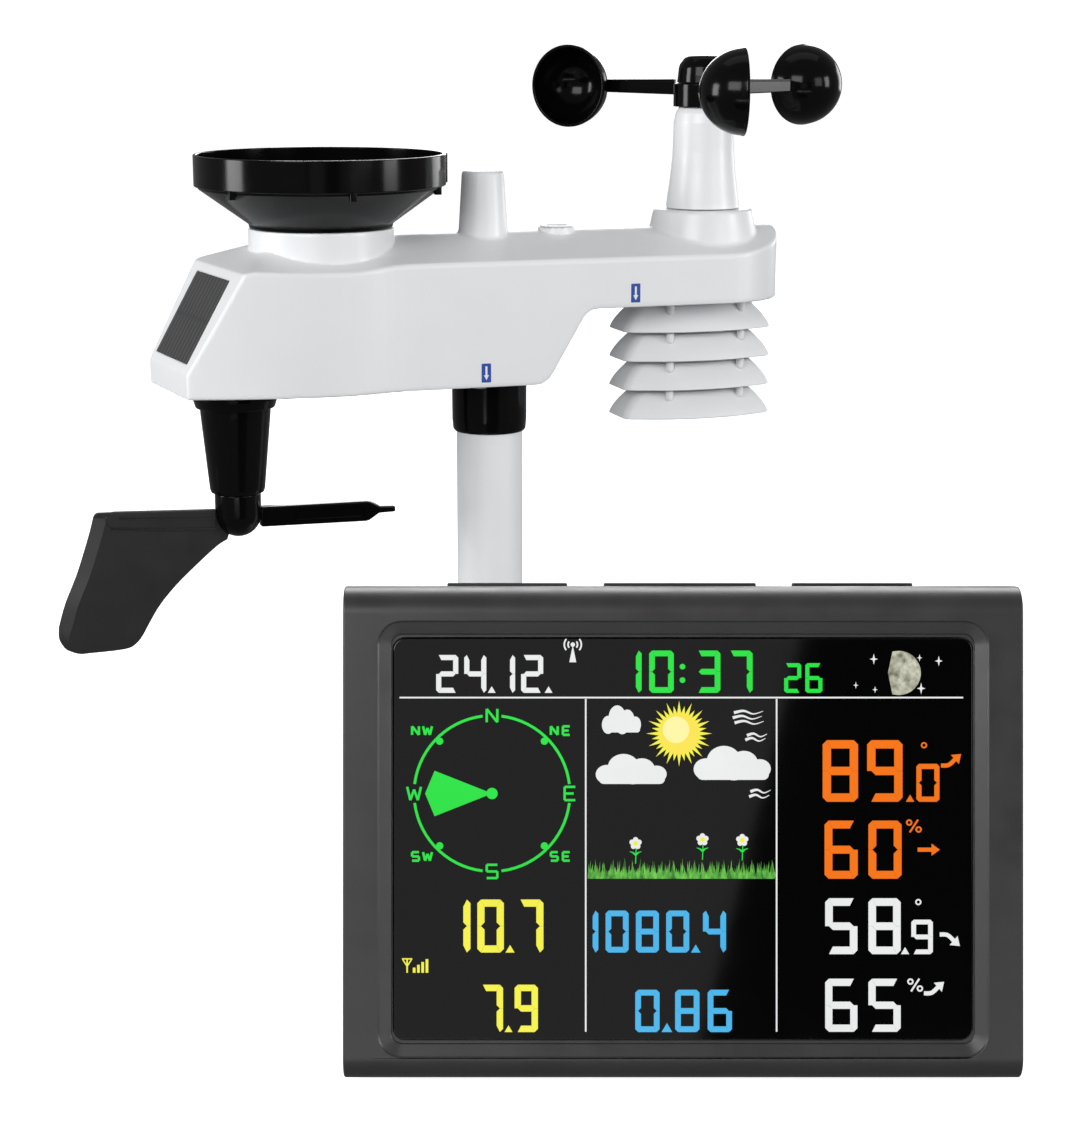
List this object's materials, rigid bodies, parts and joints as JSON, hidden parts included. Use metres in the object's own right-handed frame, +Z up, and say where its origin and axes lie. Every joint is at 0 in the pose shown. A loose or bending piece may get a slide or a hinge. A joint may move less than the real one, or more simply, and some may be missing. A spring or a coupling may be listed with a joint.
{
  "type": "weather station",
  "caption": "Home weather station with a white mast-mounted sensor head, black rain funnel, wind cups and vane, louvred shield, and a tabletop display console",
  "frame": {"origin": "centre of the mast foot's underside, on the surface that everything stands on", "axes": "+X to the right along the console, +Y away from its screen, +Z up along the mast"},
  "size_m": [0.3595, 0.4355, 0.3219],
  "materials": {
    "white_shell": "satin",
    "white_matt": "matte",
    "black_gloss": "gloss",
    "black_matt": "matte",
    "charcoal": "satin",
    "tail_grey": "satin",
    "solar": "gloss",
    "screen": "gloss",
    "display": "satin",
    "board": "satin",
    "steel": "brushed",
    "brass": "satin",
    "rubber": "matte",
    "cell": "satin",
    "ivory": "satin",
    "fluid": "gloss"
  },
  "bodies": {
    "mast": {"mast_foot": "white_matt", "mast_tube": "white_shell"},
    "head": {"housing_upper": "white_shell", "solar_panel": "solar", "housing_base": "white_matt", "battery_tray": "black_matt", "sensor_cell_1": "cell", "sensor_cell_2": "cell", "base_screw_1": "steel", "base_screw_2": "steel", "antenna_coil": "brass", "sensor_board": "board", "air_probe": "board", "level_ring": "ivory", "level_vial": "fluid", "bucket_pin": "steel", "bucket_frame": "black_matt", "anemometer_tower": "white_shell", "cup_bearing": "steel", "vane_tower": "black_gloss", "vane_bearing": "steel", "shield_louvre_1": "white_matt", "shield_louvre_2": "white_matt", "shield_louvre_3": "white_matt", "shield_louvre_4": "white_matt", "shield_carrier": "white_matt", "mast_clamp": "black_gloss", "clamp_screw": "steel"},
    "cups": {"cup_shaft": "steel", "cup_hub": "black_gloss", "wind_cup_1": "black_gloss", "wind_cup_2": "black_gloss", "wind_cup_3": "black_gloss"},
    "vane": {"vane_shaft": "steel", "vane_hub": "black_gloss", "vane_arrow": "black_gloss", "vane_tail": "tail_grey"},
    "bucket": {"tipping_bucket": "black_matt"},
    "funnel": {"rain_funnel": "black_gloss", "debris_screen": "black_matt"},
    "sensor_battery_door": {"battery_door": "white_matt"},
    "reset": {"reset_button": "black_matt"},
    "console": {"console_front": "charcoal", "console_lens": "screen", "lcd_panel": "display", "console_board": "board", "buzzer": "black_matt", "console_back": "charcoal", "leg_pin": "steel", "dc_socket": "black_matt", "rubber_foot": "rubber", "console_cell_1": "cell", "console_cell_2": "cell", "case_screw_1": "steel", "case_screw_2": "steel"},
    "leg": {"easel_leg": "charcoal"},
    "button_left": {"top_button_1": "black_matt"},
    "button_middle": {"top_button_2": "black_matt"},
    "button_right": {"top_button_3": "black_matt"},
    "hatch": {"console_battery_door": "charcoal"}
  },
  "joints": [
    {"name": "head_swivel", "type": "hinge", "parent": "mast", "child": "head", "pos_m": [0, 0, 0.16], "axis": [0, 0, 1], "range_deg": [-180, 180]},
    {"name": "cup_spin", "type": "hinge", "parent": "head", "child": "cups", "pos_m": [0.09558, 0.03106, 0.3], "axis": [0, 0, 1], "continuous": true},
    {"name": "vane_spin", "type": "hinge", "parent": "head", "child": "vane", "pos_m": [-0.10852, -0.03526, 0.13], "axis": [0, 0, 1], "continuous": true},
    {"name": "bucket_tip", "type": "hinge", "parent": "head", "child": "bucket", "pos_m": [-0.07114, -0.02311, 0.216], "axis": [0.9511, 0.309, 0], "range_deg": [0, 26]},
    {"name": "funnel_lift", "type": "slide", "parent": "head", "child": "funnel", "axis": [0, 0, 1], "range_m": [0, 0.04]},
    {"name": "sensor_door_hinge", "type": "hinge", "parent": "head", "child": "sensor_battery_door", "pos_m": [-0.05706, -0.01854, 0.1803], "axis": [-0.309, 0.9511, 0], "range_deg": [0, 95]},
    {"name": "reset_press", "type": "slide", "parent": "head", "child": "reset", "axis": [0, 0, 1], "range_m": [0, 0.0012], "stiffness_N_per_m": 400},
    {"name": "console_place", "type": "slide", "parent": "mast", "child": "console", "axis": [0, 0, 1], "range_m": [0, 0.1]},
    {"name": "leg_fold", "type": "hinge", "parent": "console", "child": "leg", "pos_m": [0.0674, -0.31122, 0.08296], "axis": [-1, 0, 0], "range_deg": [0, 21]},
    {"name": "button_left_press", "type": "slide", "parent": "console", "child": "button_left", "axis": [0, -0.225, -0.9744], "range_m": [0, 0.0008], "stiffness_N_per_m": 400},
    {"name": "button_middle_press", "type": "slide", "parent": "console", "child": "button_middle", "axis": [0, -0.225, -0.9744], "range_m": [0, 0.0008], "stiffness_N_per_m": 400},
    {"name": "button_right_press", "type": "slide", "parent": "console", "child": "button_right", "axis": [0, -0.225, -0.9744], "range_m": [0, 0.0008], "stiffness_N_per_m": 400},
    {"name": "hatch_hinge", "type": "hinge", "parent": "console", "child": "hatch", "pos_m": [0.1364, -0.32486, 0.01632], "axis": [-1, 0, 0], "range_deg": [0, 95]}
  ]
}
